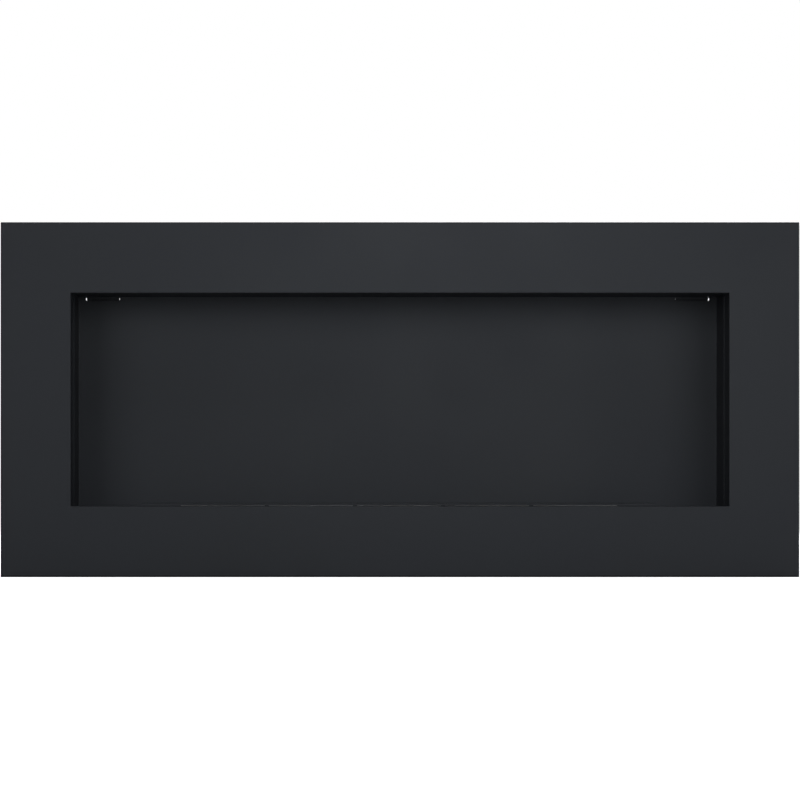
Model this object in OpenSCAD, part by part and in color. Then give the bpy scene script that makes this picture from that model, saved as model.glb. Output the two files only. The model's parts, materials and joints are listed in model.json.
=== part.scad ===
// Wall-hung ethanol fireplace: a shallow sheet-steel box with a framed recess, and a
// lift-out burner with five flame slots lying in the bottom of the recess.
// Axes: X to the viewer's right, Y from the front to the wall, Z up. The origin is on the
// underside, at the middle of the width and of the depth.

/* [Body] */
// Width of the whole fireplace
body_w = 900; // [840:1:1500]
// Height of the whole fireplace
body_h = 400; // [360:1:700]
// Depth from the front face to the wall
body_d = 120; // [118:1:220]
// Height of the flat border above and below the recess
border_h = 80; // [70:1:110]
// Width of the flat border at each side of the recess
border_w = 79.3; // [70:0.1:110]

/* [Front frame] */
// Sheet thickness of the front frame
face_t = 2; // [1.5:0.1:3]
// Outside radius of the folds round the outside
fold_r = 2.5; // [2.2:0.1:5]
// Outside radius of the folds round the opening, grooved before folding to keep them crisp
edge_r = 1; // [0.6:0.1:1.6]
// Depth of the flanges folded back round the outside
flange_d = 20; // [14:1:30]
// Depth of the returns folded back round the opening
return_d = 44; // [30:1:46]

/* [Casing] */
// Sheet thickness of the casing, the back and the liner top and floor
sheet_t = 1.2; // [1:0.1:1.6]
// Distance from the wall to the rear face of the back panel
wall_gap = 6; // [5:0.5:12]
// Width of the rear flanges that carry the back panel
rear_flange_w = 15; // [12:1:22]
// Distance from a fold of the front frame to the lip of the casing inside it
lip_gap = 1; // [0.8:0.1:3]

/* [Recess liner] */
// Distance that the side liners stand proud of the returns in front of them
liner_step = 0.5; // [0.3:0.1:1]
// Length of the liner that laps the frame returns
lap = 14; // [10:1:20]

/* [Hanging slots] */
// Length of each hanging slot
slot_l = 39.5; // [36:0.5:60]
// Height of each hanging slot
slot_h = 4.4; // [4:0.1:8]
// Distance between the middles of the two slots
slot_pitch = 684; // [560:1:686]
// Width of the tongue behind each slot
tongue_w = 37.8; // [28:0.1:50]

/* [Burner] */
// Length of the burner cover
burner_l = 596; // [570:1:640]
// Depth of the burner cover, front to back
burner_d = 60; // [58:1:64]
// Height of the burner cover above the frame edge
cover_rise = 3; // [2.5:0.1:6]
// Length of the sloping ends of the cover
end_slope = 6; // [4:0.5:10]
// Number of flame slots
flame_n = 5; // [3:1:5]
// Length of each flame slot
flame_l = 95.7; // [70:0.1:96]
// Width of each flame slot
flame_w = 16; // [10:1:18]
// Steel left between two flame slots
bridge_w = 4.8; // [4:0.1:12]
// Height of the burner tank
tank_h = 51.5; // [40:0.5:60]
// Sheet thickness of the tank
tank_t = 1.2; // [0.8:0.1:1.5]
// Height of the ceramic wool in the tank
wool_h = 30; // [20:1:34]

/* [Fits] */
// Clearance between pieces that only lie next to each other
clear = 0.3; // [0.2:0.05:0.5]
// Running clearance above and below the shutter
slide_clear = 0.3; // [0.2:0.05:0.5]
// Clearance between the tank and its cut-out in the floor
drop_clear = 1; // [0.8:0.1:2]
// Radius added to a screw hole over its screw
hole_clear = 0.1; // [0.05:0.05:0.3]

/* [Hidden] */
$fn = 48;
over = 1; // how far a cutter reaches past a face
coat = "#2f3134";
steel = "#b9bcbf";
zinc = "#a8abad";

// Outline of the box and of the opening
half_w = body_w / 2;
front_y = -body_d / 2;
rear_y = body_d / 2;
open_x = half_w - border_w;
open_z0 = border_h;
open_z1 = body_h - border_h;
flange_y = front_y + flange_d;
seam = 0.4;
lip_y0 = front_y + fold_r + lip_gap;
lip_y1 = flange_y + seam + 3;
lip_end = 30;

// Back panel and the hollow in front of it
back_y1 = rear_y - wall_gap;
back_y0 = back_y1 - sheet_t;

// Recess liner
liner_x = open_x - liner_step;
lap_x = open_x + face_t;
liner_z0 = open_z0 - face_t;
liner_z1 = open_z1 + face_t;
liner_y0 = front_y + return_d;
liner_lip = 12;

// Hanging slots
slot_drop = 0.45;
slot_z = liner_z1 - slot_drop - slot_h / 2;
tongue_t = 1.8;
tongue_foot = 14;
tongue_top = 28;
tongue_step_z = slot_z + 0.5;
hanger_rivet_rise = 20;
hanger_rivet_pitch = 20;

// Burner cover, standing on the liner floor just behind the lower return
cover_y0 = liner_y0 + 2;
cover_y1 = cover_y0 + burner_d;
cover_z1 = open_z0 + cover_rise;
cover_z0 = cover_z1 - sheet_t;
air_slot_z1 = open_z0 + 0.5;
flame_pitch = flame_l + bridge_w;

// Tank, shutter and guides
tank_x = burner_l / 2 - 8;
tank_y0 = cover_y0 + sheet_t + 1.5;
tank_y1 = cover_y1 - sheet_t - 1.5;
tank_z0 = cover_z0 - tank_h;
tank_flange = 12;
baffle_t = 1;
shutter_t = 1.1;
shutter_w = flame_w + 4;
shutter_z1 = cover_z0 - slide_clear;
shutter_z0 = shutter_z1 - shutter_t;
shutter_y0 = tank_y0 + tank_t + 3;
shutter_run = shutter_w + 1;
flame_y = shutter_y0 + shutter_run + shutter_w / 2;
flame_end = (flame_n - 1) / 2 * flame_pitch + flame_l / 2;
pin_r = 3;
pin_foot_r = 1.5;
pin_gap = 1;
pin_x = flame_end + 8;
pin_y = shutter_y0 + shutter_w / 2;
shutter_x = pin_x + 8;
guide_t = 1.2;
rail_over = 1.5;
guide_end = shutter_x + 10;
wool_z0 = tank_z0 + tank_t + clear;
wool_z1 = wool_z0 + wool_h;

// Fasteners
screw_r = 1.7;
head_r = 3.4;
head_h = 2;
countersink_h = 1.6;
cover_screw_r = 1.5;
rivet_r = 1.6;
panel_screw_x = [for (i = [-5 : 2 : 5]) i * (body_w - 100) / 10];
panel_screw_z = [body_h / 4, body_h / 2, body_h * 3 / 4];
frame_screw_x = [for (i = [-3 : 2 : 3]) i * (body_w - 140) / 6];
frame_screw_z = [body_h / 4, body_h * 3 / 4];
frame_screw_y = front_y + flange_d / 2 + 1;
liner_rivet_x = [for (i = [-2 : 2]) i * (open_x - 30) / 2];
liner_rivet_y = liner_y0 - lap / 2;
cover_screw_x = tank_x - tank_flange / 2;
cover_screw_y = [tank_y0 + 12, tank_y1 - 12];
flange_mid = sheet_t + rear_flange_w / 2;
brace_x = (half_w + open_x) / 2;
brace_end = 30;
brace_flange = 12;
brace_hole_r = 25;
brace_hole_pitch = 90;
prop_x = tank_x + 42;
prop_flange = 14;
shield_z = (liner_z1 + body_h) / 2 - 6;
spacer_x = [-open_x + 70, 0, open_x - 70];
spacer_y = [liner_y0 + 8, back_y0 - 20];
buffer_x = half_w - 70;
buffer_z = [45, body_h - 45];
buffer_r = 9;
buffer_neck_r = 3;

// ---- helpers ----

// A box from its lowest to its highest corner
module block(lo, hi) {
    translate(lo) cube(hi - lo);
}

// A rectangle from the origin to [u, v] whose corner at the origin is rounded by r
module rounded_corner(u, v, r) {
    translate([r, 0]) square([u - r, v]);
    translate([0, r]) square([u, v - r]);
    if (r > 0) translate([r, r]) circle(r);
}

// Cross-section of a folded edge: the face runs along u from the fold, the flange along v
module fold_section(depth, r) {
    reach = max(r, face_t) + over;
    intersection() {
        square([reach, depth]);
        difference() {
            rounded_corner(depth, depth, r);
            translate([face_t, face_t]) rounded_corner(depth, depth, max(r - face_t, 0));
        }
    }
}

// A folded edge along X: up is 1 where the sheet lies above the edge and -1 below it
module fold_along_x(z, up, length, depth, r) {
    multmatrix([[0, 0, 1, 0], [0, 1, 0, front_y], [up, 0, 0, z], [0, 0, 0, 1]])
        linear_extrude(length, center = true) fold_section(depth, r);
}

// A folded edge along Z: out is 1 where the sheet lies to the right of the edge
module fold_along_z(x, out, z, length, depth, r) {
    multmatrix([[out, 0, 0, x], [0, 1, 0, front_y], [0, 0, 1, z], [0, 0, 0, 1]])
        linear_extrude(length) fold_section(depth, r);
}

// A slot with round ends, cut along Y through the back panel
module slot_cut(x) {
    r = slot_h / 2;
    for (s = [-1, 1])
        bar_y(x + s * (slot_l / 2 - r), slot_z, back_y0 - over, back_y1 + over, r);
    block([x - slot_l / 2 + r, back_y0 - over, slot_z - r],
        [x + slot_l / 2 - r, back_y1 + over, slot_z + r]);
}

// Round bars along Y, for holes, screws and rivets
module bar_y(x, z, y0, y1, r) {
    translate([x, y0, z]) rotate([-90, 0, 0]) cylinder(r = r, h = y1 - y0);
}

// Round bars along Z
module bar_z(x, y, z0, z1, r) {
    translate([x, y, z0]) cylinder(r = r, h = z1 - z0);
}

// Holes or screws through the rear flanges into the back panel
module at_panel_screws() {
    for (x = panel_screw_x, z = [flange_mid, body_h - flange_mid])
        translate([x, 0, z]) children();
    for (x = [-1, 1], z = panel_screw_z)
        translate([x * (half_w - flange_mid), 0, z]) children();
}

module panel_screw_holes() {
    at_panel_screws() bar_y(0, 0, back_y0 - over, rear_y, screw_r + hole_clear);
}

// A countersunk screw lying flush, pointing along -Z from the origin
module flush_screw(length, r, hole = 0) {
    translate([0, 0, -length]) cylinder(r = r + hole, h = length + hole);
    translate([0, 0, -countersink_h]) cylinder(r1 = r + hole,
        r2 = 2 * r + hole + hole * r / countersink_h, h = countersink_h + hole);
}

// The screws that hold the front frame on the casing, on all four sides
module at_frame_screws() {
    for (x = frame_screw_x) {
        translate([x, frame_screw_y, body_h]) children();
        translate([x, frame_screw_y, 0]) mirror([0, 0, 1]) children();
    }
    for (s = [-1, 1], z = frame_screw_z)
        translate([s * half_w, frame_screw_y, z]) rotate([0, s * 90, 0]) children();
}

module frame_screw_holes() {
    at_frame_screws() flush_screw(8, screw_r, hole_clear);
}

// Rivets that join the liner top and floor to the returns
module at_liner_rivets() {
    for (x = liner_rivet_x) {
        translate([x, liner_rivet_y, open_z1]) children();
        translate([x, liner_rivet_y, open_z0]) mirror([0, 0, 1]) children();
    }
}

module liner_rivet_holes() {
    at_liner_rivets() bar_z(0, 0, -over, face_t + sheet_t + over, rivet_r + hole_clear);
}

// ---- front frame ----

// Flat border with flanges folded back outside and returns folded back round the opening
module front_frame() {
    color(coat) difference() {
        union() {
            difference() {
                block([-half_w + fold_r, front_y, fold_r],
                    [half_w - fold_r, front_y + face_t, body_h - fold_r]);
                block([-open_x - edge_r, front_y - over, open_z0 - edge_r],
                    [open_x + edge_r, front_y + face_t + over, open_z1 + edge_r]);
            }
            intersection() {
                union() {
                    fold_along_x(0, 1, body_w, flange_d, fold_r);
                    fold_along_x(body_h, -1, body_w, flange_d, fold_r);
                }
                outer_block();
            }
            intersection() {
                union() {
                    fold_along_z(-half_w, 1, 0, body_h, flange_d, fold_r);
                    fold_along_z(half_w, -1, 0, body_h, flange_d, fold_r);
                }
                outer_block();
            }
            fold_along_x(open_z0, -1, 2 * lap_x, return_d, edge_r);
            fold_along_x(open_z1, 1, 2 * lap_x, return_d, edge_r);
            for (s = [-1, 1])
                fold_along_z(s * open_x, s, liner_z0, liner_z1 - liner_z0, return_d, edge_r);
        }
        frame_screw_holes();
        liner_rivet_holes();
    }
}

// The outside of the box with its four front edges rounded
module outer_block() {
    intersection() {
        translate([0, 0, -over]) linear_extrude(body_h + 2 * over) rounded_front();
        rotate([90, 0, 90]) translate([0, 0, -half_w - over])
            linear_extrude(body_w + 2 * over) rounded_front_side();
    }
}

// Plan of the box: its two front corners are rounded
module rounded_front() {
    for (s = [-1, 1]) translate([s * (half_w - fold_r), front_y + fold_r]) circle(fold_r);
    translate([-half_w + fold_r, front_y]) square([body_w - 2 * fold_r, body_d]);
    translate([-half_w, front_y + fold_r]) square([body_w, body_d - fold_r]);
}

// Side view of the box: its upper and lower front corners are rounded
module rounded_front_side() {
    for (z = [fold_r, body_h - fold_r]) translate([front_y + fold_r, z]) circle(fold_r);
    translate([front_y, fold_r]) square([body_d, body_h - 2 * fold_r]);
    translate([front_y + fold_r, 0]) square([body_d - fold_r, body_h]);
}

// ---- casing ----

// One long wall of the casing, drawn as the bottom wall: plate, front lip and rear flange
module long_wall() {
    block([-half_w, flange_y + seam, 0], [half_w, rear_y, sheet_t]);
    block([-half_w + lip_end, flange_y + seam, 0], [half_w - lip_end, lip_y1, face_t + sheet_t]);
    block([-half_w + lip_end, lip_y0, face_t], [half_w - lip_end, lip_y1, face_t + sheet_t]);
    block([-half_w + sheet_t, back_y1, 0],
        [half_w - sheet_t, back_y1 + sheet_t, rear_flange_w + sheet_t]);
}

// One short wall of the casing, drawn as the left wall, between the two long walls
module short_wall() {
    block([-half_w, flange_y + seam, sheet_t], [-half_w + sheet_t, rear_y, body_h - sheet_t]);
    block([-half_w, flange_y + seam, lip_end], [-half_w + face_t + sheet_t, lip_y1, body_h - lip_end]);
    block([-half_w + face_t, lip_y0, lip_end],
        [-half_w + face_t + sheet_t, lip_y1, body_h - lip_end]);
    block([-half_w, back_y1, rear_flange_w + sheet_t],
        [-half_w + rear_flange_w + sheet_t, back_y1 + sheet_t, body_h - rear_flange_w - sheet_t]);
}

module casing_bottom() {
    color(coat) difference() {
        long_wall();
        panel_screw_holes();
        frame_screw_holes();
    }
}

module casing_top() {
    color(coat) difference() {
        translate([0, 0, body_h]) mirror([0, 0, 1]) long_wall();
        panel_screw_holes();
        frame_screw_holes();
    }
}

module casing_side_left() {
    color(coat) difference() {
        short_wall();
        panel_screw_holes();
        frame_screw_holes();
    }
}

module casing_side_right() {
    color(coat) difference() {
        mirror([1, 0, 0]) short_wall();
        panel_screw_holes();
        frame_screw_holes();
    }
}

// Single sheet that closes the back, with the two hanging slots
module back_panel() {
    color(coat) difference() {
        block([-half_w + sheet_t + clear, back_y0, sheet_t + clear],
            [half_w - sheet_t - clear, back_y1, body_h - sheet_t - clear]);
        for (s = [-1, 1]) slot_cut(s * slot_pitch / 2);
        panel_screw_holes();
        hanger_rivet_holes();
        for (x = [-buffer_x, buffer_x], z = buffer_z)
            bar_y(x, z, back_y0 - over, back_y1 + over, buffer_neck_r + hole_clear);
    }
}

// ---- recess liner ----

// Top of the recess, lying on the upper return, with a flange turned up at the back
module liner_top() {
    color(coat) difference() {
        union() {
            block([-lap_x - sheet_t, liner_y0 - lap, liner_z1],
                [lap_x + sheet_t, back_y0, liner_z1 + sheet_t]);
            block([-lap_x - sheet_t, back_y0 - sheet_t, liner_z1],
                [lap_x + sheet_t, back_y0, liner_z1 + liner_lip]);
        }
        liner_rivet_holes();
    }
}

// Floor of the recess, under the lower return, with the cut-out that the burner drops into
module liner_floor() {
    color(coat) difference() {
        union() {
            block([-lap_x - sheet_t, liner_y0 - lap, liner_z0 - sheet_t],
                [lap_x + sheet_t, back_y0, liner_z0]);
            block([-lap_x - sheet_t, back_y0 - sheet_t, liner_z0 - liner_lip],
                [lap_x + sheet_t, back_y0, liner_z0]);
        }
        block([-tank_x - drop_clear, tank_y0 - drop_clear, liner_z0 - sheet_t - over],
            [tank_x + drop_clear, tank_y1 + drop_clear, liner_z0 + over]);
        liner_rivet_holes();
    }
}

// Side of the recess, joggled at the front to lap the outside of the side return, with a
// flange at the back
module liner_side() {
    block([liner_x, liner_y0, liner_z0], [liner_x + sheet_t, back_y0, liner_z1]);
    block([liner_x, liner_y0, liner_z0], [lap_x + sheet_t, liner_y0 + sheet_t, liner_z1]);
    block([lap_x, liner_y0 - lap, liner_z0], [lap_x + sheet_t, liner_y0 + sheet_t, liner_z1]);
    block([liner_x, back_y0 - sheet_t, liner_z0], [lap_x + liner_lip, back_y0, liner_z1]);
}

module liner_side_right() {
    color(coat) liner_side();
}

module liner_side_left() {
    color(coat) mirror([1, 0, 0]) liner_side();
}

// ---- inner supports ----

// Upright between the front face and the back panel, with lightening holes
module side_brace(s) {
    x = s * brace_x;
    color(zinc) difference() {
        union() {
            block([x, front_y + face_t, brace_end], [x + sheet_t, back_y0, body_h - brace_end]);
            block([x, front_y + face_t, brace_end],
                [x + brace_flange, front_y + face_t + sheet_t, body_h - brace_end]);
            block([x, back_y0 - sheet_t, brace_end],
                [x + brace_flange, back_y0, body_h - brace_end]);
        }
        for (i = [-1 : 1])
            translate([x - over, 0, body_h / 2 + i * brace_hole_pitch]) rotate([0, 90, 0])
                cylinder(r = brace_hole_r, h = sheet_t + 2 * over);
    }
}

module side_brace_left() {
    side_brace(-1);
}

module side_brace_right() {
    side_brace(1);
}

// Folded stand that carries the liner floor on the bottom of the casing
module floor_prop() {
    y0 = liner_y0;
    y1 = back_y0 - sheet_t - clear;
    color(zinc) {
        block([prop_x, y0, sheet_t], [prop_x + sheet_t, y1, liner_z0 - sheet_t]);
        block([prop_x, y0, sheet_t], [prop_x + prop_flange, y1, 2 * sheet_t]);
        block([prop_x, y0, liner_z0 - 2 * sheet_t],
            [prop_x + prop_flange, y1, liner_z0 - sheet_t]);
    }
}

module floor_prop_left() {
    mirror([1, 0, 0]) floor_prop();
}

module floor_prop_right() {
    floor_prop();
}

// ---- hangers ----

module at_hanger_rivets() {
    for (s = [-1, 1], d = [-1, 1])
        translate([s * slot_pitch / 2 + d * hanger_rivet_pitch / 2, 0, slot_z + hanger_rivet_rise])
            children();
}

module hanger_rivet_holes() {
    at_hanger_rivets() bar_y(0, 0, back_y0 - over, rear_y, rivet_r + hole_clear);
}

// Stepped tongue behind a slot: the upper part is riveted to the back panel and shows in the
// upper half of the slot, and the lower part stands off, so that a wall hook catches it
module hanger(s) {
    y2 = rear_y - 0.2;
    color(coat) difference() {
        translate([s * slot_pitch / 2, 0, 0]) intersection() {
            translate([0, rear_y, 0]) rotate([90, 0, 0])
                linear_extrude(wall_gap) tongue_outline();
            union() {
                block([-tongue_w, back_y1, tongue_step_z],
                    [tongue_w, back_y1 + tongue_t, slot_z + tongue_top]);
                block([-tongue_w, back_y1, tongue_step_z], [tongue_w, y2, tongue_step_z + tongue_t]);
                block([-tongue_w, y2 - tongue_t, slot_z - tongue_foot],
                    [tongue_w, y2, tongue_step_z + tongue_t]);
            }
        }
        hanger_rivet_holes();
    }
}

// The foot of the tongue is narrower, to lead it on to its hook
module tongue_outline() {
    w = tongue_w / 2;
    polygon([[-w + 4, slot_z - tongue_foot], [w - 4, slot_z - tongue_foot],
        [w, slot_z - tongue_foot + 8], [w, slot_z + tongue_top],
        [-w, slot_z + tongue_top], [-w, slot_z - tongue_foot + 8]]);
}

module hanger_left() {
    hanger(-1);
}

module hanger_right() {
    hanger(1);
}

// ---- heat shield ----

// Plate that keeps the heat of the flames from the top of the casing
module heat_shield() {
    color(zinc) difference() {
        block([-open_x + 30, front_y + 20, shield_z], [open_x - 30, back_y0 - 8, shield_z + sheet_t]);
        for (x = spacer_x, y = spacer_y)
            bar_z(x, y, shield_z - over, shield_z + sheet_t + over, 2 + hole_clear);
    }
}

// Pillars between the liner top and the shield, each with a small head on top
module shield_spacers() {
    color(zinc) for (x = spacer_x, y = spacer_y) {
        bar_z(x, y, liner_z1 + sheet_t, shield_z, 4);
        bar_z(x, y, shield_z - 1, shield_z + sheet_t + 1, 2);
        bar_z(x, y, shield_z + sheet_t, shield_z + sheet_t + 1.6, 3.5);
    }
}

// ---- burner ----

// Cross-section of the burner cover seen from the front, moved inwards by t
module cover_section(t) {
    foot = burner_l / 2 - t;
    top = burner_l / 2 - end_slope - 0.25 * t;
    polygon([[-foot, liner_z0 - t], [-foot, open_z0 - 0.55 * t], [-top, cover_z1 - t],
        [top, cover_z1 - t], [foot, open_z0 - 0.55 * t], [foot, liner_z0 - t]]);
}

module cover_solid(t) {
    translate([0, cover_y1 - t, 0]) rotate([90, 0, 0])
        linear_extrude(burner_d - 2 * t) cover_section(t);
}

// Left end of flame slot number i
function flame_x(i) = (i - (flame_n - 1) / 2) * flame_pitch - flame_l / 2;

// Left and right end of the bay of the tank under flame slot number i
function bay_x0(i) = flame_x(i) - bridge_w / 2 + baffle_t / 2;
function bay_x1(i) = flame_x(i) + flame_l + bridge_w / 2 - baffle_t / 2;

// Cover of the burner: five flame slots on top and five air slots in the front lip
module burner_cover() {
    color(coat) difference() {
        cover_solid(0);
        cover_solid(sheet_t);
        for (i = [0 : flame_n - 1]) {
            block([flame_x(i), flame_y - flame_w / 2, cover_z0 - over],
                [flame_x(i) + flame_l, flame_y + flame_w / 2, cover_z1 + over]);
            block([flame_x(i), cover_y0 - over, liner_z0 - over],
                [flame_x(i) + flame_l, cover_y0 + sheet_t + 0.5, air_slot_z1]);
        }
        for (y = [pin_y, pin_y + shutter_run])
            bar_z(pin_x, y, cover_z0 - over, cover_z1 + over, pin_r + pin_gap);
        block([pin_x - pin_r - pin_gap, pin_y, cover_z0 - over],
            [pin_x + pin_r + pin_gap, pin_y + shutter_run, cover_z1 + over]);
        cover_screw_holes();
    }
}

module at_cover_screws() {
    for (s = [-1, 1], y = cover_screw_y) translate([s * cover_screw_x, y, cover_z1]) children();
}

module cover_screw_holes() {
    at_cover_screws() flush_screw(6, cover_screw_r, hole_clear);
}

// Open fuel tank of stainless sheet, with a flange at each end that the cover is screwed to
module burner_tank() {
    color(steel) difference() {
        block([-tank_x, tank_y0, tank_z0], [tank_x, tank_y1, cover_z0]);
        block([-tank_x + tank_t, tank_y0 + tank_t, tank_z0 + tank_t],
            [tank_x - tank_t, tank_y1 - tank_t, cover_z0 - tank_t]);
        block([-tank_x + tank_flange, tank_y0 + tank_t, cover_z0 - tank_t - over],
            [tank_x - tank_flange, tank_y1 - tank_t, cover_z0 + over]);
        cover_screw_holes();
    }
}

// Upright plates across the tank, one under each bridge between two flame slots
module tank_baffles() {
    color(steel) for (i = [1 : flame_n - 1]) {
        x = flame_x(i) - bridge_w / 2;
        block([x - baffle_t / 2, tank_y0 + tank_t, tank_z0 + tank_t],
            [x + baffle_t / 2, tank_y1 - tank_t, wool_z1 + 6]);
    }
}

// Ceramic wool that soaks up the fuel, one block under each flame slot
module wool_blocks() {
    color("#e9e6de") for (i = [0 : flame_n - 1])
        block([bay_x0(i) + clear, tank_y0 + tank_t + clear, wool_z0],
            [bay_x1(i) - clear, tank_y1 - tank_t - clear, wool_z1]);
}

// Stainless strips that hold the wool down, one over each block
module wool_retainer() {
    color(steel) for (i = [0 : flame_n - 1]) {
        z0 = wool_z1 + clear;
        difference() {
            block([bay_x0(i), tank_y0 + tank_t, z0], [bay_x1(i), tank_y1 - tank_t, z0 + baffle_t]);
            block([bay_x0(i) + 6, flame_y - flame_w / 2 - 2, z0 - over],
                [bay_x1(i) - 6, flame_y + flame_w / 2 + 2, z0 + baffle_t + over]);
        }
    }
}

// Plate that slides back under the flame slots to put the flames out
module shutter_plate() {
    color(steel) difference() {
        block([-shutter_x, shutter_y0, shutter_z0], [shutter_x, shutter_y0 + shutter_w, shutter_z1]);
        bar_z(pin_x, pin_y, shutter_z0 - over, shutter_z1 + over, pin_foot_r);
    }
}

// Riveted pin that the poker pushes, flush with the top of the cover
module shutter_pin() {
    color(zinc) {
        bar_z(pin_x, pin_y, shutter_z0, shutter_z1, pin_foot_r);
        bar_z(pin_x, pin_y, shutter_z1, cover_z1 - 0.2, pin_r);
    }
}

// Rail under the cover that carries one end of the shutter
module shutter_guide() {
    rail_z = shutter_z0 - slide_clear;
    y1 = shutter_y0 + shutter_w + shutter_run + rail_over;
    color(steel) {
        block([shutter_x + slide_clear, shutter_y0 - rail_over, rail_z - guide_t],
            [guide_end, y1, cover_z0]);
        block([shutter_x - 6, shutter_y0 - rail_over, rail_z - guide_t], [guide_end, y1, rail_z]);
    }
}

module shutter_guide_left() {
    mirror([1, 0, 0]) shutter_guide();
}

module shutter_guide_right() {
    shutter_guide();
}

// ---- fasteners and buffers ----

// Countersunk screws that hold the cover on the tank
module cover_screws() {
    color(zinc) at_cover_screws() flush_screw(6, cover_screw_r);
}

// Pan-head screws that hold the back panel
module panel_screws() {
    color(zinc) at_panel_screws() {
        bar_y(0, 0, back_y0 - 0.5, back_y1 + sheet_t, screw_r);
        bar_y(0, 0, back_y1 + sheet_t, back_y1 + sheet_t + head_h, head_r);
    }
}

// Countersunk screws that hold the front frame, flush with the outside
module frame_screws() {
    color(coat) at_frame_screws() flush_screw(7, screw_r);
}

// Rivets that join the liner to the returns, flush inside the recess
module liner_rivets() {
    color(coat) at_liner_rivets() {
        cylinder(r = rivet_r, h = face_t + sheet_t);
        translate([0, 0, face_t + sheet_t]) cylinder(r1 = 3.2, r2 = 2.4, h = 1.2);
    }
}

// Rivets that hold the hangers on the back panel
module hanger_rivets() {
    color(zinc) at_hanger_rivets() {
        bar_y(0, 0, back_y0 - 1.2, back_y1 + tongue_t, rivet_r);
        bar_y(0, 0, back_y0 - 1.2, back_y0, 3.2);
        bar_y(0, 0, back_y1 + tongue_t, back_y1 + tongue_t + 1, 2.8);
    }
}

// Rubber buffers pushed into the back panel, which touch the wall
module wall_buffers() {
    color("#1b1b1c") for (x = [-buffer_x, buffer_x], z = buffer_z) {
        bar_y(x, z, back_y0 - 0.5, back_y1, buffer_neck_r);
        bar_y(x, z, back_y0 - 2, back_y0, buffer_neck_r + 1.2);
        bar_y(x, z, back_y1, rear_y, buffer_r);
    }
}

front_frame();
casing_top();
casing_bottom();
casing_side_left();
casing_side_right();
back_panel();
liner_top();
liner_floor();
liner_side_left();
liner_side_right();
side_brace_left();
side_brace_right();
floor_prop_left();
floor_prop_right();
hanger_left();
hanger_right();
heat_shield();
shield_spacers();
burner_cover();
burner_tank();
tank_baffles();
wool_blocks();
wool_retainer();
shutter_plate();
shutter_pin();
shutter_guide_left();
shutter_guide_right();
cover_screws();
panel_screws();
frame_screws();
liner_rivets();
hanger_rivets();
wall_buffers();
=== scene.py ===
# %% [markdown]
# # A wall-hung ethanol fireplace
# The imported CAD model is loaded as a fixed frame: its sheets, burner and fasteners are
# already in place. This lesson gives them eased edges, coated and brushed finishes, real
# fasteners and a bed of ceramic wool.

# %% Load the frame
import json
import math
import random

import bmesh
import bpy
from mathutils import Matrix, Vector, noise as field


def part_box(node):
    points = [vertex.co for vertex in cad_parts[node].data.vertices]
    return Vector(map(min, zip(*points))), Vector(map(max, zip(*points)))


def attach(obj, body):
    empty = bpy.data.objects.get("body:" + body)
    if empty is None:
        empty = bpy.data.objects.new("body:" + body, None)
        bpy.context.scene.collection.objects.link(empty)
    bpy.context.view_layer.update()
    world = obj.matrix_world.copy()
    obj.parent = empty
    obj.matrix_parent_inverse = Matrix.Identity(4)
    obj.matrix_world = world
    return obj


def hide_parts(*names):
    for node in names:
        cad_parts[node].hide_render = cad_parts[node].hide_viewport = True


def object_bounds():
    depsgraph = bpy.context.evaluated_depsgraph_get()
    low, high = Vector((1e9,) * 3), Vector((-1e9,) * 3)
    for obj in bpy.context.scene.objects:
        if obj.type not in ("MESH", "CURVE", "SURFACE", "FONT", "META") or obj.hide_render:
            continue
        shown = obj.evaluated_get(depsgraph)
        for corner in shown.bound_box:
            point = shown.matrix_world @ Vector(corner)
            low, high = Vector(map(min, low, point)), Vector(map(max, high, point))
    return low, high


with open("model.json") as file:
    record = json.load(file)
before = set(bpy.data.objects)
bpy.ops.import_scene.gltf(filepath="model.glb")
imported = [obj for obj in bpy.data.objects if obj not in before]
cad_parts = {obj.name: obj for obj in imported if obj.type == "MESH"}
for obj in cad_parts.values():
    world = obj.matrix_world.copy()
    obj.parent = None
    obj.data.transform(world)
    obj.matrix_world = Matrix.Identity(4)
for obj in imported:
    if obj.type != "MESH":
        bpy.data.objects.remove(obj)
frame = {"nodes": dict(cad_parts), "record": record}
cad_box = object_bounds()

scene = bpy.context.scene
MM = 0.001
low, high = cad_box
centre = (low + high) / 2
width, depth, height = high - low
print("fireplace", [round(v / MM, 1) for v in (width, depth, height)], "mm")

# %% [markdown]
# ## Camera
# A long lens from about 3.7 m keeps the box almost free of perspective. The camera
# stands a little to the left of the middle and low, level with the burner, and looks
# straight at the wall. Its shift then brings the box back to the middle of the picture
# without turning the camera, so that upright edges stay upright.

# %% Camera
CAMERA_DISTANCE = 3.69        # from the front face
CAMERA_LEFT = 0.092           # from the middle of the box
CAMERA_HEIGHT = 0.110         # above the underside
VIEW_WIDTH = width * 1.0011   # what the picture's width covers at the front face
LIFT = 0.00044                # how far the middle of the box lies above the picture's middle

camera_data = bpy.data.cameras.new("camera")
camera_data.sensor_width = 36
camera_data.lens = camera_data.sensor_width * CAMERA_DISTANCE / VIEW_WIDTH
camera_data.shift_x = CAMERA_LEFT / VIEW_WIDTH
camera_data.shift_y = (centre.z - LIFT - CAMERA_HEIGHT) / VIEW_WIDTH
camera_data.clip_start, camera_data.clip_end = 0.1, 60
camera = bpy.data.objects.new("camera", camera_data)
camera.location = (centre.x - CAMERA_LEFT, low.y - CAMERA_DISTANCE, low.z + CAMERA_HEIGHT)
camera.rotation_euler = (math.pi / 2, 0, 0)
scene.collection.objects.link(camera)
scene.camera = camera
print("lens", round(camera_data.lens, 1), "mm")

# %% [markdown]
# ## Helpers for node trees
# Shader trees and geometry trees are built the same way: make a node, set its
# properties, then fill each input with a value or a link. One small function does it.

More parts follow.
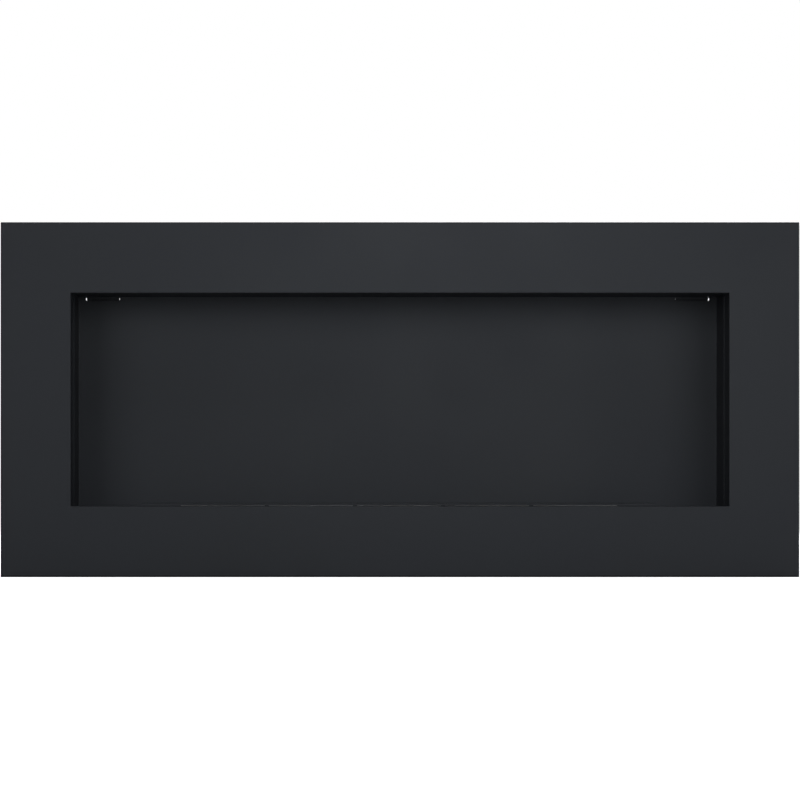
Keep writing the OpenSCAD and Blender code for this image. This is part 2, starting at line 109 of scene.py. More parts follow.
# %% Node helper
def add(tree, kind, inputs=None, **settings):
    """A new node of that kind. An input's value is a number, a colour or another node's output."""
    node = tree.nodes.new(kind)
    for name, value in settings.items():
        setattr(node, name, value)
    for name, value in (inputs or {}).items():
        if isinstance(value, bpy.types.NodeSocket):
            tree.links.new(value, node.inputs[name])
        else:
            node.inputs[name].default_value = value
    return node


WHITE = (1, 1, 1, 1)


def linear(code):
    """An sRGB hex colour as linear RGBA."""
    parts = [int(code[i:i + 2], 16) / 255 for i in (1, 3, 5)]
    return (*[c / 12.92 if c <= 0.04045 else ((c + 0.055) / 1.055) ** 2.4 for c in parts], 1)


# %% [markdown]
# ## Studio
# The box is black, so what matters is how evenly its face is lit. A softbox stands on
# each side of the camera, two metres off, and a weaker one nearer in the middle. The
# frame's edges then throw a soft shadow on the back of the recess from both sides. One
# more hangs high in front, and lights the folds and the burner's top. The world is dim,
# brighter behind the box, and only the camera sees it as white paper.

# %% World
FRONT_GLOW = 0.06             # the world's strength in front of the box
REAR_GLOW = 0.25              # and behind it


def studio_world():
    """Dim in front of the box and brighter behind it; white paper to the camera."""
    world = bpy.data.worlds.new("studio")
    world.use_nodes = True
    scene.world = world
    tree = world.node_tree
    tree.nodes.clear()
    path = add(tree, "ShaderNodeLightPath")
    towards = add(tree, "ShaderNodeTexCoord").outputs["Generated"]
    ray = add(tree, "ShaderNodeSeparateXYZ", {0: towards})
    rear = add(tree, "ShaderNodeMapRange", {"Value": ray.outputs["Y"],
                                            "From Min": 0.0, "From Max": 0.5,
                                            "To Min": FRONT_GLOW, "To Max": REAR_GLOW})
    room = add(tree, "ShaderNodeBackground", {"Color": WHITE, "Strength": rear.outputs[0]})
    paper = add(tree, "ShaderNodeBackground", {"Color": WHITE, "Strength": 1.0})
    both = add(tree, "ShaderNodeMixShader", {0: path.outputs["Is Camera Ray"],
                                             1: room.outputs[0], 2: paper.outputs[0]})
    add(tree, "ShaderNodeOutputWorld", {"Surface": both.outputs[0]})


studio_world()
scene.view_settings.view_transform = "Standard"


# %% Soft lights
LAMP = (0.93, 0.99, 1.08)     # slightly cool daylight lamps


def softbox(name, place, size, power):
    """A rectangular area light at place, turned to the box's middle, unseen by the camera."""
    data = bpy.data.lights.new(name, "AREA")
    data.shape = "RECTANGLE"
    data.size, data.size_y = size
    data.energy = power
    data.color = LAMP
    lamp = bpy.data.objects.new(name, data)
    lamp.location = place
    lamp.rotation_euler = (centre - Vector(place)).to_track_quat("-Z", "Y").to_euler()
    lamp.visible_camera = False
    scene.collection.objects.link(lamp)


# name, place across, height, distance in front of the face, width and height, power
FRONT_BOXES = [("left", -1.22, 0.48, 2.0, 0.9, 0.6, 6.6),
               ("right", 1.05, 0.42, 2.0, 0.95, 0.8, 5.6),
               ("middle", 0.07, 0.52, 1.2, 0.55, 0.6, 2.9),
               ("high", 0, 2.4, 1.5, 1.8, 0.8, 11)]
for name, x, z, away, wide, tall, power in FRONT_BOXES:
    softbox(name, (x, low.y - away, z), (wide, tall), power)
# These stand behind the plane of the face, so they light only the top, the ends and the
# back. The distance is now from the middle of the box towards the wall.
REAR_BOXES = [("behind", 0.9, 1.6, 2.46, 1.6, 1.2, 55),
              ("above", 0, 2.2, 0.3, 1.6, 0.6, 7),
              ("left_end", -2.2, 0.9, 0.3, 0.6, 1.0, 7),
              ("right_end", 2.2, 0.9, 0.3, 0.6, 1.0, 7)]
for name, x, z, away, wide, tall, power in REAR_BOXES:
    softbox(name, (x, centre.y + away, z), (wide, tall), power)


# %% Pale floor
FLOOR_REACH = 14              # half the sheet's width


def pale_floor():
    """A white sheet that the fireplace stands on. It is bright to the camera and dim to the box."""
    mat = bpy.data.materials.new("studio_paper")
    mat.use_nodes = True
    tree = mat.node_tree
    tree.nodes.clear()
    path = add(tree, "ShaderNodeLightPath")
    matt = add(tree, "ShaderNodeBsdfDiffuse", {"Color": linear("#e6e6e6")})
    dim = add(tree, "ShaderNodeBsdfDiffuse", {"Color": linear("#b0b0b0")})
    glow = add(tree, "ShaderNodeEmission", {"Color": WHITE, "Strength": 0.9})
    bright = add(tree, "ShaderNodeAddShader", {0: matt.outputs[0], 1: glow.outputs[0]})
    mix = add(tree, "ShaderNodeMixShader", {0: path.outputs["Is Camera Ray"],
                                            1: dim.outputs[0], 2: bright.outputs[0]})
    add(tree, "ShaderNodeOutputMaterial", {"Surface": mix.outputs[0]})
    data = bpy.data.meshes.new("floor")
    corners = [(x * FLOOR_REACH, y * FLOOR_REACH, 0)
               for x, y in ((-1, -1), (1, -1), (1, 1), (-1, 1))]
    data.from_pydata(corners, [], [(0, 1, 2, 3)])
    data.materials.append(mat)
    floor = bpy.data.objects.new("floor", data)
    floor.location.z = low.z
    scene.collection.objects.link(floor)


pale_floor()


# %% [markdown]
# ## Finishes
# Each finish starts from the real one and its physical values. All patterns read object
# coordinates, which are metres here, so a pattern's scale is one over its real size.

# %% Base of every finish
def finish(name, **values):
    """A new material with a Principled shader, and its tree, shader and object coordinates."""
    mat = bpy.data.materials.new(name)
    mat.use_nodes = True
    tree = mat.node_tree
    tree.nodes.clear()
    shader = add(tree, "ShaderNodeBsdfPrincipled",
                 {key.replace("_", " "): value for key, value in values.items()})
    add(tree, "ShaderNodeOutputMaterial", {"Surface": shader.outputs[0]})
    place = add(tree, "ShaderNodeTexCoord").outputs["Object"]
    return mat, tree, shader, place


def noise(tree, place, size_mm, detail=2.0, stretch=(1, 1, 1)):
    """Noise whose grains are about size_mm across, drawn out along an axis by stretch."""
    scaled = add(tree, "ShaderNodeMapping", {"Vector": place, "Scale": [1 / s for s in stretch]})
    return add(tree, "ShaderNodeTexNoise", {"Vector": scaled.outputs[0], "Detail": detail,
                                            "Scale": 1 / (size_mm * MM)}).outputs["Fac"]


NOISE_LOW, NOISE_HIGH = 0.3, 0.7     # nearly all of a noise's values lie between these


def ramp(tree, fac, dark, light):
    """A colour between two hex colours, by fac."""
    node = add(tree, "ShaderNodeValToRGB", {"Fac": fac})
    node.color_ramp.elements[0].position = NOISE_LOW
    node.color_ramp.elements[0].color = linear(dark)
    node.color_ramp.elements[1].position = NOISE_HIGH
    node.color_ramp.elements[1].color = linear(light)
    return node.outputs["Color"]


def spread(tree, fac, lowest, highest):
    """A number between lowest and highest, by fac."""
    return add(tree, "ShaderNodeMapRange", {"Value": fac, "From Min": NOISE_LOW,
                                            "From Max": NOISE_HIGH, "To Min": lowest,
                                            "To Max": highest}).outputs[0]


def bump(tree, shader, fac, depth_mm, strength=1.0, under=None):
    """Relief of that depth on the shader, over any relief passed as under."""
    node = add(tree, "ShaderNodeBump", {"Height": fac, "Distance": depth_mm * MM,
                                        "Strength": strength})
    if under:
        tree.links.new(under, node.inputs["Normal"])
    tree.links.new(node.outputs[0], shader.inputs["Normal"])
    return node.outputs[0]


# %% [markdown]
# ### Powder coat
# Polyester powder is sprayed on dry and baked, which leaves an even satin skin with a
# fine, slightly rolling grain. The grain is really 0.3 mm across; it is drawn at 1.1 mm
# so that it still shows at this distance. A broad, faint cloud in the sheen stands for
# the uneven thickness of the powder.

# %% Powder coat
def powder_coat(name, dark="#1c1d1f", light="#212225", rough=(0.47, 0.55)):
    mat, tree, shader, place = finish(name, IOR=1.42)
    cloud = noise(tree, place, 140, 3)
    grain = noise(tree, place, 1.1, 2)
    roll = noise(tree, place, 6, 1)
    tree.links.new(ramp(tree, cloud, dark, light), shader.inputs["Base Color"])
    tree.links.new(spread(tree, cloud, *rough), shader.inputs["Roughness"])
    soft = bump(tree, shader, roll, 0.02, 0.35)
    bump(tree, shader, grain, 0.03, 0.5, soft)
    return mat


black_coat = powder_coat("powder_coat_anthracite")

# %% [markdown]
# ### Stainless sheet
# Cold-rolled stainless is drawn through rollers, so its brush lines run along the sheet.
# They are 0.05 mm apart and 30 mm long; here they are 0.5 mm apart. Heat leaves a faint
# straw tint in broad patches.

# %% Stainless sheet
def stainless_sheet():
    mat, tree, shader, place = finish("stainless_cold_rolled", Metallic=1.0, Anisotropic=0.35)
    lines = noise(tree, place, 0.5, 3, (60, 1, 1))
    heat = noise(tree, place, 60, 2)
    tree.links.new(ramp(tree, heat, "#a8a49b", "#b6b6b5"), shader.inputs["Base Color"])
    tree.links.new(spread(tree, lines, 0.34, 0.46), shader.inputs["Roughness"])
    bump(tree, shader, lines, 0.01, 0.5)
    return mat


stainless = stainless_sheet()

# %% [markdown]
# ### Zinc plate
# Bright zinc is a thin electroplated layer: blue-white, cloudy where the bath was
# uneven, and duller than polished steel.

# %% Zinc plate
def zinc_plate():
    mat, tree, shader, place = finish("zinc_bright_plated", Metallic=1.0)
    bloom = noise(tree, place, 18, 4)
    fine = noise(tree, place, 0.8, 2)
    tree.links.new(ramp(tree, bloom, "#94989e", "#b2b6ba"), shader.inputs["Base Color"])
    tree.links.new(spread(tree, bloom, 0.32, 0.48), shader.inputs["Roughness"])
    bump(tree, shader, fine, 0.01, 0.4)
    return mat


zinc = zinc_plate()

# %% [markdown]
# ### Ceramic wool
# Needled ceramic fibre is matt and off-white, with fibres lying mostly flat. The grain
# is stretched along the block, and sheen lightens it at grazing angles as fuzz does.

# %% Ceramic wool
def wool_finish():
    mat, tree, shader, place = finish("ceramic_fibre_needled", Roughness=0.95, Sheen_Weight=0.3)
    fibres = noise(tree, place, 0.9, 4, (7, 1, 1))
    lumps = noise(tree, place, 9, 2)
    tree.links.new(ramp(tree, fibres, "#cfcabd", "#efece4"), shader.inputs["Base Color"])
    soft = bump(tree, shader, lumps, 0.8, 0.5)
    bump(tree, shader, fibres, 0.3, 0.8, soft)
    return mat


wool = wool_finish()

# %% [markdown]
# ### Rubber and black fasteners
# Moulded rubber is dull with a dusty bloom. Black screws and rivets are steel under a
# thin oily oxide, smoother than the powder coat round them.

# %% Rubber and black oxide
def rubber_finish():
    mat, tree, shader, place = finish("rubber_moulded", IOR=1.52, Sheen_Weight=0.05)
    dust = noise(tree, place, 4, 4)
    tree.links.new(ramp(tree, dust, "#161617", "#262628"), shader.inputs["Base Color"])
    tree.links.new(spread(tree, dust, 0.7, 0.88), shader.inputs["Roughness"])
    bump(tree, shader, noise(tree, place, 0.7, 2), 0.03, 0.5)
    return mat


rubber = rubber_finish()
black_oxide = powder_coat("black_oxide", "#161719", "#1d1e20", (0.34, 0.42))

FINISHES = {"black_coat": black_coat, "stainless": stainless, "zinc_plate": zinc,
            "ceramic_wool": wool, "buffer_rubber": rubber, "black_fastener": black_oxide}
SLOT_OF = {part["node"]: part["material_slot"] for part in frame["record"]["subparts"]}
BODY_OF = {node: body for body, nodes in frame["record"]["behaviour"]["bodies"].items()
           for node in nodes}
for node, obj in frame["nodes"].items():
    obj.data.materials.clear()
    obj.data.materials.append(FINISHES[SLOT_OF[node]])


# %% [markdown]
# ## Making a piece stand for a CAD node
# A detailed piece takes the place of a plain node. It rides on the same body and keeps
# the same finish, so a pose moves it as it moved the node.

# %% Stand-in helper
def shade_by_angle(mesh, degrees):
    """Smooth shading, broken where two faces meet more sharply than degrees."""
    mesh.shade_smooth()
    mesh.set_sharp_from_angle(angle=math.radians(degrees))


def baked(obj, name):
    """A plain object with obj's modifiers applied to its mesh. obj itself is removed."""
    bpy.context.view_layer.update()
    source = obj.evaluated_get(bpy.context.evaluated_depsgraph_get())
    mesh = bpy.data.meshes.new_from_object(source)
    mesh.name = name
    bpy.data.objects.remove(obj)
    made = bpy.data.objects.new(name, mesh)
    scene.collection.objects.link(made)
    return made


def stands_for(piece, *nodes):
    """The piece takes over the body, the slot and the finish of these nodes."""
    if not piece.data.materials:
        piece.data.materials.append(FINISHES[SLOT_OF[nodes[0]]])
    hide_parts(*nodes)
    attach(piece, BODY_OF[nodes[0]])
    return piece


WELD = 0.002                  # mm within which two corners are one


def welded(node):
    """The node's own mesh as a bmesh, with its loose triangles joined."""
    bm = bmesh.new()
    bm.from_mesh(frame["nodes"][node].data)
    bmesh.ops.remove_doubles(bm, verts=bm.verts, dist=WELD * MM)
    return bm


# %% [markdown]
# ## Folded and cut sheet
# Sheet that was laser-cut, folded and coated has no knife edges: the coat rounds each
# one by a few tenths of a millimetre, and that thin round catches the light. Each sheet
# is welded, its flat triangles are merged, and a Bevel modifier eases only the corners
# sharper than 35 degrees, so that round holes and folds stay as they are.

# %% Eased sheet parts
FLAT = math.radians(0.4)      # faces that turn by less than this are one face
CORNER = 35                   # degrees above which an edge is a corner
EASE = {"front_frame": 0.35, "back_panel": 0.25, "burner_cover": 0.3, "heat_shield": 0.2,
        "tank_baffles": 0.12, "wool_retainer": 0.12, "shutter_plate": 0.15}
USUAL_EASE = 0.22
SHEETS = ["front_frame", "casing_top", "casing_bottom", "casing_side_left", "casing_side_right",
          "back_panel", "liner_top", "liner_floor", "liner_side_left", "liner_side_right",
          "side_brace_left", "side_brace_right", "floor_prop_left", "floor_prop_right",
          "hanger_left", "hanger_right", "heat_shield", "burner_cover", "burner_tank",
          "tank_baffles", "wool_retainer", "shutter_plate", "shutter_guide_left",
          "shutter_guide_right"]


def keep_inside(mesh, lo, hi):
    """Brings back into the box any vertex that a bevel's mitre has swung out of it."""
    for vert in mesh.vertices:
        vert.co = [max(lo[k], min(hi[k], vert.co[k])) for k in range(3)]


def eased_sheet(node):
    """The node's shape with its sharp corners rounded."""
    bm = welded(node)
    bmesh.ops.dissolve_limit(bm, angle_limit=FLAT, verts=bm.verts, edges=bm.edges)
    mesh = bpy.data.meshes.new(node)
    bm.to_mesh(mesh)
    bm.free()
    shade_by_angle(mesh, CORNER)
    obj = bpy.data.objects.new(node, mesh)
    scene.collection.objects.link(obj)
    ease = obj.modifiers.new("ease", "BEVEL")
    ease.width = EASE.get(node, USUAL_EASE) * MM
    ease.segments = 3
    ease.limit_method = "ANGLE"
    ease.angle_limit = math.radians(CORNER)
    ease.use_clamp_overlap = False
    ease.miter_outer = "MITER_ARC"
    flat = obj.modifiers.new("flat", "WEIGHTED_NORMAL")
    flat.mode = "FACE_AREA"
    flat.weight = 100
    flat.thresh = 0.01
    piece = baked(obj, node + "_eased")
    keep_inside(piece.data, *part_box(node))
    return stands_for(piece, node)


for node in SHEETS:
    eased_sheet(node)
print("eased", len(SHEETS), "sheet parts")

# %% [markdown]
# ## Turned shapes
# Screws, rivets and buffers are all turned about an axis. Each is a list of rings from
# the axis outwards and back, in millimetres. A ring is a circle unless it is marked HEX,
# and hexagons make the socket that the key fits.

# %% Turned shape
HEX = True
ROUND_ENOUGH = 38             # degrees: rings that meet more flatly are shaded as one curve


def ring_radius(radius, turn, hexagon):
    """Distance from the axis at that angle: a circle, or a hexagon of that half width."""
    if not hexagon:
        return radius
    third = math.pi / 3
    return radius / math.cos((turn % third) - third / 2)


def turned(name, rings, sides=24):
    """A closed solid through rings of (radius, height) or (radius, height, HEX), in mm."""
    bm = bmesh.new()
    turns = [2 * math.pi * i / sides for i in range(sides)]
    loops = []
    for radius, z, *shape in rings:
        loop = []
        for turn in turns:
            r = ring_radius(radius, turn, bool(shape))
            loop.append(bm.verts.new((r * math.cos(turn) * MM, r * math.sin(turn) * MM, z * MM)))
        loops.append(loop)
    for inner, outer in zip(loops, loops[1:]):
        for i in range(sides):
            j = (i + 1) % sides
            bm.faces.new((inner[i], inner[j], outer[j], outer[i]))
    bm.faces.new(loops[0])
    bm.faces.new(loops[-1])
    bmesh.ops.recalc_face_normals(bm, faces=bm.faces)
    mesh = bpy.data.meshes.new(name)
    bm.to_mesh(mesh)
    bm.free()
    shade_by_angle(mesh, ROUND_ENOUGH)
    return bpy.data.objects.new(name, mesh)


# %% [markdown]
# ## Setting fasteners out
# The CAD node already holds one plain solid for each fastener. Their middles become the
# points of a small mesh, with an aim and a twist on each point, and a geometry tree puts
# the detailed fastener on every point. Screws never stop at the same angle, so the twist
# comes from a seeded random draw.

# %% Middles of the plain solids
def solids_of(node):
    """The lowest and highest corner of each separate solid in a node."""
    bm = welded(node)
    left, boxes = set(bm.verts), []
    while left:
        group, edge = set(), [left.pop()]
        while edge:
            vert = edge.pop()
            group.add(vert)
            for link in vert.link_edges:
                other = link.other_vert(vert)
                if other in left:
                    left.remove(other)
                    edge.append(other)
        spots = [v.co for v in group]
        boxes.append((Vector([min(p[k] for p in spots) for k in range(3)]),
                      Vector([max(p[k] for p in spots) for k in range(3)])))
    bm.free()
    return sorted(boxes, key=lambda box: [round(v, 5) for v in box[0]])


# %% Geometry tree for fasteners
def fastener_tree():
    """Puts one part on every point, aimed and twisted by the point's attributes."""
    tree = bpy.data.node_groups.new("fasteners", "GeometryNodeTree")
    face = tree.interface
    face.new_socket("Geometry", in_out="INPUT", socket_type="NodeSocketGeometry")
    face.new_socket("Part", in_out="INPUT", socket_type="NodeSocketObject")
    face.new_socket("Finish", in_out="INPUT", socket_type="NodeSocketMaterial")
    face.new_socket("Geometry", in_out="OUTPUT", socket_type="NodeSocketGeometry")
    given = add(tree, "NodeGroupInput")
    part = add(tree, "GeometryNodeObjectInfo", {"Object": given.outputs["Part"]})
    aim = add(tree, "GeometryNodeInputNamedAttribute", {"Name": "aim"}, data_type="FLOAT_VECTOR")
    twist = add(tree, "GeometryNodeInputNamedAttribute", {"Name": "twist"}, data_type="FLOAT")
    about = add(tree, "ShaderNodeCombineXYZ", {"Z": twist.outputs["Attribute"]})
    aimed = add(tree, "FunctionNodeAlignRotationToVector",
                {"Vector": aim.outputs["Attribute"]}, axis="Z")
    turn = add(tree, "FunctionNodeEulerToRotation", {"Euler": about.outputs[0]})
    whole = add(tree, "FunctionNodeRotateRotation", {"Rotation": aimed.outputs[0],
                                                     "Rotate By": turn.outputs[0]},
                rotation_space="LOCAL")
    placed = add(tree, "GeometryNodeInstanceOnPoints",
                 {"Points": given.outputs["Geometry"], "Instance": part.outputs["Geometry"],
                  "Rotation": whole.outputs[0]})
    real = add(tree, "GeometryNodeRealizeInstances", {"Geometry": placed.outputs[0]})
    coated = add(tree, "GeometryNodeSetMaterial", {"Geometry": real.outputs[0],
                                                   "Material": given.outputs["Finish"]})
    add(tree, "NodeGroupOutput", {"Geometry": coated.outputs[0]})
    return tree


FASTENERS = fastener_tree()


def grow(obj, group, **values):
    """Puts the geometry tree on obj as a modifier, with its inputs set by name."""
    maker = obj.modifiers.new(group.name, "NODES")
    maker.node_group = group
    for item in group.interface.items_tree:
        if item.in_out == "INPUT" and item.name in values:
            maker[item.identifier] = values[item.name]


def set_out(name, part, places, material):
    """A plain mesh of the part at every (point, aim), twisted by a seeded draw."""
    draw = random.Random(name)
    mesh = bpy.data.meshes.new(name)
    mesh.from_pydata([point for point, aim in places], [], [])
    mesh.attributes.new("aim", "FLOAT_VECTOR", "POINT")
    mesh.attributes.new("twist", "FLOAT", "POINT")
    for i, (point, aim) in enumerate(places):
        mesh.attributes["aim"].data[i].vector = aim
        mesh.attributes["twist"].data[i].value = draw.uniform(0, 2 * math.pi)
    obj = bpy.data.objects.new(name, mesh)
    scene.collection.objects.link(obj)
    grow(obj, FASTENERS, Part=part, Finish=material)
    made = baked(obj, name)
    bpy.data.objects.remove(part)
    print(name, len(places), "pieces,", len(made.data.polygons), "faces")
    return made


# %% [markdown]
# ## Screws of the back panel
# Eighteen button-head screws hold the back to the flanges of the casing. The head is a
# low dome on a thin collar, with a hexagon socket whose floor is a shallow cone.

# %% Back panel screws
def length_of(box, axis):
    """A box's length along an axis, in millimetres."""
    lo, hi = box
    return (hi[axis] - lo[axis]) / MM


def face_middle(box, axis, side):
    """The middle of a box's face on the high (1) or low (-1) side of an axis."""
    lo, hi = box
    point = (lo + hi) / 2
    point[axis] = hi[axis] if side > 0 else lo[axis]
    return point


REARWARDS = Vector((0, 1, 0))
button_head = turned("button_head", [
    (0.05, -1.2), (1.0, -1.0, HEX), (1.05, -0.2, HEX), (1.15, -0.05, HEX), (1.5, -0.02),
    (2.1, -0.2), (2.7, -0.62), (3.1, -1.15), (3.3, -1.6), (3.4, -1.8), (3.4, -1.95),
    (3.3, -2.0), (1.7, -2.0), (1.7, -4.6), (1.3, -5.0)])
panel_boxes = solids_of("panel_screws")
panel_places = [(face_middle(box, 1, 1), REARWARDS) for box in panel_boxes]
stands_for(set_out("panel_screws_turned", button_head, panel_places, zinc), "panel_screws")

# %% [markdown]
# ## Countersunk screws
# The frame screws and the burner's cover screws lie flush. Each sits in its own
# countersink, so it shows as a thin ring round a flat head with a hexagon socket. A
# frame screw's head faces the outside face of the box that it reaches.

# %% Countersunk screws
def outward(box):
    """The axis and side on which a fastener's head lies: the outside face that it reaches."""
    lo, hi = box
    gaps = []
    for k in (0, 2):
        gaps.append((abs(hi[k] - high[k]), k, 1))
        gaps.append((abs(lo[k] - low[k]), k, -1))
    return min(gaps)[1:]


def flush_head(name, shank, length):
    """A countersunk screw with a shank of that radius, whose flat head lies at height 0."""
    return turned(name, [
        (0.05, -1.5), (shank * 0.62, -1.3, HEX), (shank * 0.66, -0.12, HEX),
        (shank * 0.72, -0.02, HEX), (shank * 1.3, 0), (shank * 1.85, 0),
        (shank * 1.94, -0.06), (shank * 1.9, -0.2), (shank, -1.6), (shank, -length + 0.4),
        (shank * 0.7, -length)])


frame_places = []
for box in solids_of("frame_screws"):
    axis, side = outward(box)
    aim = Vector((0, 0, 0))
    aim[axis] = side
    frame_places.append((face_middle(box, axis, side), aim))
stands_for(set_out("frame_screws_turned", flush_head("frame_screw", 1.7, 7), frame_places,
                   black_oxide), "frame_screws")

UPWARDS = Vector((0, 0, 1))
cover_places = [(face_middle(box, 2, 1), UPWARDS) for box in solids_of("cover_screws")]
stands_for(set_out("cover_screws_turned", flush_head("cover_screw", 1.5, 6), cover_places,
                   zinc), "cover_screws")

# %% [markdown]
# ## Rivets
# A blind rivet leaves a low dome with a dimple where its stem snapped off. The hanger
# rivets show theirs on both sides of the back panel, and the liner rivets are pulled
# flush on the side that faces the flames.

# %% Rivets
def rivet(name, grip):
    """A rivet along +Z: a round head at the origin's end and a snapped dome at the far end."""
    return turned(name, [
        (0.05, 0.1), (1.6, 0.05), (2.6, 0.25), (3.1, 0.7), (3.2, 1.2), (1.6, 1.2),
        (1.6, grip), (2.6, grip), (2.7, grip + 0.3), (2.3, grip + 0.75),
        (1.5, grip + 0.95), (1.0, grip + 0.9), (0.8, grip + 0.5), (0.1, grip + 0.45)])


HANGER_DOME = 1.0             # mm kept for the snapped dome of a hanger rivet
LINER_DOME = 1.2              # and of a liner rivet

hanger_boxes = solids_of("hanger_rivets")
hanger_grip = length_of(hanger_boxes[0], 1) - HANGER_DOME
hanger_places = [(face_middle(box, 1, -1), REARWARDS) for box in hanger_boxes]
stands_for(set_out("hanger_rivets_pulled", rivet("hanger_rivet", hanger_grip), hanger_places,
                   zinc), "hanger_rivets")

liner_boxes = solids_of("liner_rivets")
liner_grip = length_of(liner_boxes[0], 2) - LINER_DOME
liner_places = []
for box in liner_boxes:
    side = 1 if box[0].z > centre.z else -1
    liner_places.append((face_middle(box, 2, -side), Vector((0, 0, side))))
liner_rivet = turned("liner_rivet", [
    (0.05, 0.5), (0.7, 0.45), (0.8, 0.05), (1.6, 0), (1.6, liner_grip),
    (3.2, liner_grip), (3.1, liner_grip + 0.5), (2.3, liner_grip + 1.05),
    (1.0, liner_grip + 1.2), (0.1, liner_grip + 1.15)])
stands_for(set_out("liner_rivets_pulled", liner_rivet, liner_places, black_oxide), "liner_rivets")

# %% [markdown]
# ## Shield pillars
# Six turned pillars carry the heat shield. Each has a shoulder above and below, and its
# upper end is peened over into a small dome.

# %% Shield pillars
PEENED = 1.6                  # mm of the pillar above the shield
SHIELD = 1.2                  # thickness of the shield, in mm

pillar_boxes = solids_of("shield_spacers")
top = length_of(pillar_boxes[0], 2)
over_shield = top - PEENED
under_shield = over_shield - SHIELD
pillar = turned("pillar", [
    (0.1, 0), (3.7, 0), (4.0, 0.3), (4.0, 1.6), (3.4, 2.2),
    (3.4, under_shield - 2.2), (4.0, under_shield - 1.6), (4.0, under_shield - 0.1),
    (2.0, under_shield), (2.0, over_shield), (3.5, over_shield), (3.3, top - 0.7),
    (2.2, top - 0.15), (0.1, top)])
pillar_places = [(face_middle(box, 2, -1), UPWARDS) for box in pillar_boxes]
stands_for(set_out("shield_spacers_turned", pillar, pillar_places, zinc), "shield_spacers")

# %% [markdown]
# ## Wall buffers
# A rubber buffer is pushed through its hole until the barb springs open behind the
# sheet. The pad that touches the wall has a rounded rim and a dished face.

# %% Wall buffers
BARB_END = 2.0                # mm from the tip of a buffer to the sheet
PAD_START = BARB_END + 1.2    # and to the pad, on the sheet's other side
BUFFER_SIDES = 32

buffer_boxes = solids_of("wall_buffers")
end = length_of(buffer_boxes[0], 1)
buffer_part = turned("buffer", [
    (0.1, 0), (2.2, 0), (3.0, 0.4), (4.2, BARB_END), (3.0, BARB_END), (3.0, PAD_START),
    (8.4, PAD_START), (9.0, PAD_START + 0.6), (9.0, end - 1.4), (8.6, end - 0.5),
    (7.6, end), (6.4, end - 0.3), (3.0, end - 1.2), (0.1, end - 1.4)], BUFFER_SIDES)
buffer_places = [(face_middle(box, 1, -1), REARWARDS) for box in buffer_boxes]
stands_for(set_out("wall_buffers_moulded", buffer_part, buffer_places, rubber), "wall_buffers")

# %% [markdown]
# ## Shutter pin
# The poker pushes this riveted pin. Its top edge is chamfered and its middle is dimpled,
# so that the poker's tip stays on it.

# %% Shutter pin
pin_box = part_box("shutter_pin")
pin_h = length_of(pin_box, 2)
pin = turned("shutter_pin_part", [
    (0.05, 0), (1.5, 0), (1.5, 1.1), (3.0, 1.1), (3.0, pin_h - 0.3),
    (2.7, pin_h), (1.4, pin_h), (0.9, pin_h - 0.5), (0.05, pin_h - 0.7)])
pin_places = [(face_middle(pin_box, 2, -1), UPWARDS)]
stands_for(set_out("shutter_pin_turned", pin, pin_places, zinc), "shutter_pin")

# %% [markdown]
# ## Ceramic wool
# Each block is cut from a thick blanket, so its edges are soft and its top is lumpy. A
# grid is rounded and pushed in and out by smooth noise, always inwards from the plain
# block. Loose fibres are then scattered over the top by a geometry tree.

# %% Wool blocks
WOOL_STEP = 2.6 * MM          # size of the grid's cells
WOOL_ROUND = 3.0 * MM         # radius of the rounded edges
WOOL_SINK = 0.30              # deepest hollow, as a share of that radius
COARSE, FINE = 7 * MM, 2.4 * MM      # sizes of the two noises that make the hollows


def soft_block(lo, hi, seed):
    """A block with rounded, uneven faces, inside the box from lo to hi, as a bmesh."""
    bm = bmesh.new()
    bmesh.ops.create_cube(bm, size=1)
    for k in range(3):
        axis = Vector([1 if i == k else 0 for i in range(3)])
        cells = max(2, round((hi[k] - lo[k]) / WOOL_STEP))
        for i in range(1, cells):
            bmesh.ops.bisect_plane(bm, geom=bm.verts[:] + bm.edges[:] + bm.faces[:],
                                   plane_co=axis * (i / cells - 0.5), plane_no=axis)
    middle, size = (lo + hi) / 2, hi - lo
    core = size / 2 - Vector((WOOL_ROUND,) * 3)
    for vert in bm.verts:
        p = Vector([vert.co[k] * size[k] for k in range(3)])
        inner = Vector([max(-core[k], min(core[k], p[k])) for k in range(3)])
        off = p - inner
        if off.length > WOOL_ROUND:
            off = off.normalized() * WOOL_ROUND
        sink = 0.5 + 0.5 * field.noise((p + Vector((0, 0, seed))) / COARSE)
        sink += 0.4 * field.noise((p + Vector((seed, 0, 0))) / FINE)
        vert.co = middle + inner + off * (1 - WOOL_SINK * max(0, min(1, sink)))
    return bm


def wool_bed():
    """All the blocks as one object, each with its own hollows."""
    bm = bmesh.new()
    block = bpy.data.meshes.new("one_block")
    for i, (lo, hi) in enumerate(solids_of("wool_blocks")):
        one = soft_block(lo, hi, seed=3.7 * (i + 1))
        one.to_mesh(block)
        one.free()
        bm.from_mesh(block)
    bpy.data.meshes.remove(block)
    bmesh.ops.recalc_face_normals(bm, faces=bm.faces)
    mesh = bpy.data.meshes.new("wool_blocks_soft")
    bm.to_mesh(mesh)
    bm.free()
    mesh.shade_smooth()
    bed = bpy.data.objects.new("wool_blocks_soft", mesh)
    scene.collection.objects.link(bed)
    return bed


wool_piece = wool_bed()
print("wool", len(wool_piece.data.polygons), "faces")


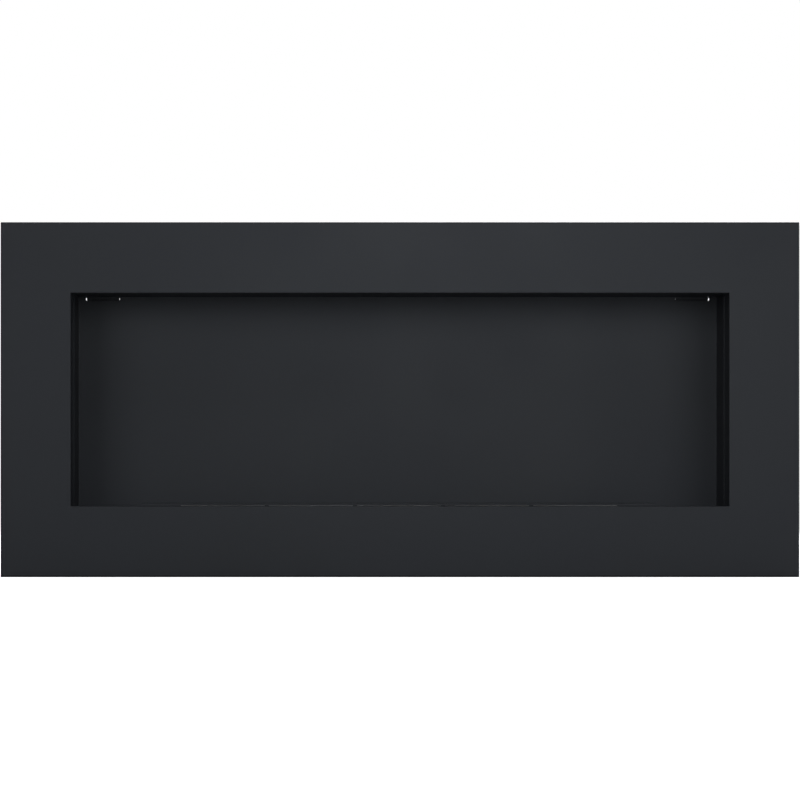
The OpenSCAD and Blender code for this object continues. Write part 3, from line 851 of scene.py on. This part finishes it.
# %% Loose fibres
def fibre_tree():
    """Scatters short bent fibres over the upward faces of a mesh."""
    tree = bpy.data.node_groups.new("fibres", "GeometryNodeTree")
    face = tree.interface
    face.new_socket("Geometry", in_out="INPUT", socket_type="NodeSocketGeometry")
    for name in ("Density", "Length", "Thickness"):
        face.new_socket(name, in_out="INPUT", socket_type="NodeSocketFloat")
    face.new_socket("Finish", in_out="INPUT", socket_type="NodeSocketMaterial")
    face.new_socket("Geometry", in_out="OUTPUT", socket_type="NodeSocketGeometry")
    given = add(tree, "NodeGroupInput")
    facing = add(tree, "GeometryNodeInputNormal")
    upright = add(tree, "ShaderNodeSeparateXYZ", {0: facing.outputs[0]})
    upward = add(tree, "FunctionNodeCompare", {0: upright.outputs["Z"], 1: 0.8},
                 operation="GREATER_THAN")
    spots = add(tree, "GeometryNodeDistributePointsOnFaces",
                {"Mesh": given.outputs["Geometry"], "Selection": upward.outputs[0],
                 "Density": given.outputs["Density"], "Seed": 7})
    end = add(tree, "ShaderNodeCombineXYZ", {"X": given.outputs["Length"]})
    half = add(tree, "ShaderNodeVectorMath", {0: end.outputs[0], "Scale": 0.5}, operation="SCALE")
    rise = add(tree, "ShaderNodeVectorMath", {0: half.outputs[0], 1: (0, 0, 0.6 * MM)},
               operation="ADD")
    arc = add(tree, "GeometryNodeCurveQuadraticBezier",
              {"Resolution": 4, "Start": (0, 0, 0), "Middle": rise.outputs[0],
               "End": end.outputs[0]})
    section = add(tree, "GeometryNodeCurvePrimitiveCircle",
                  {"Resolution": 4, "Radius": given.outputs["Thickness"]})
    fibre = add(tree, "GeometryNodeCurveToMesh", {"Curve": arc.outputs[0],
                                                  "Profile Curve": section.outputs[0],
                                                  "Fill Caps": True})
    lay = add(tree, "FunctionNodeRandomValue",
              {0: (-0.08, -0.12, 0), 1: (0.08, 0.12, 6.283), "Seed": 3}, data_type="FLOAT_VECTOR")
    laid = add(tree, "FunctionNodeEulerToRotation", {"Euler": lay.outputs[0]})
    placed = add(tree, "GeometryNodeInstanceOnPoints",
                 {"Points": spots.outputs["Points"], "Instance": fibre.outputs[0],
                  "Rotation": laid.outputs[0]})
    real = add(tree, "GeometryNodeRealizeInstances", {"Geometry": placed.outputs[0]})
    joined = add(tree, "GeometryNodeJoinGeometry", {"Geometry": real.outputs[0]})
    tree.links.new(given.outputs["Geometry"], joined.inputs[0])
    coated = add(tree, "GeometryNodeSetMaterial", {"Geometry": joined.outputs[0],
                                                   "Material": given.outputs["Finish"]})
    add(tree, "NodeGroupOutput", {"Geometry": coated.outputs[0]})
    return tree


FIBRES = fibre_tree()
FIBRES_PER_M2 = 60000.0
grow(wool_piece, FIBRES, Density=FIBRES_PER_M2, Length=5.0 * MM, Thickness=0.07 * MM, Finish=wool)
wool_piece = baked(wool_piece, "wool_blocks_fibrous")
print("wool with fibres", len(wool_piece.data.polygons), "faces")
stands_for(wool_piece, "wool_blocks")
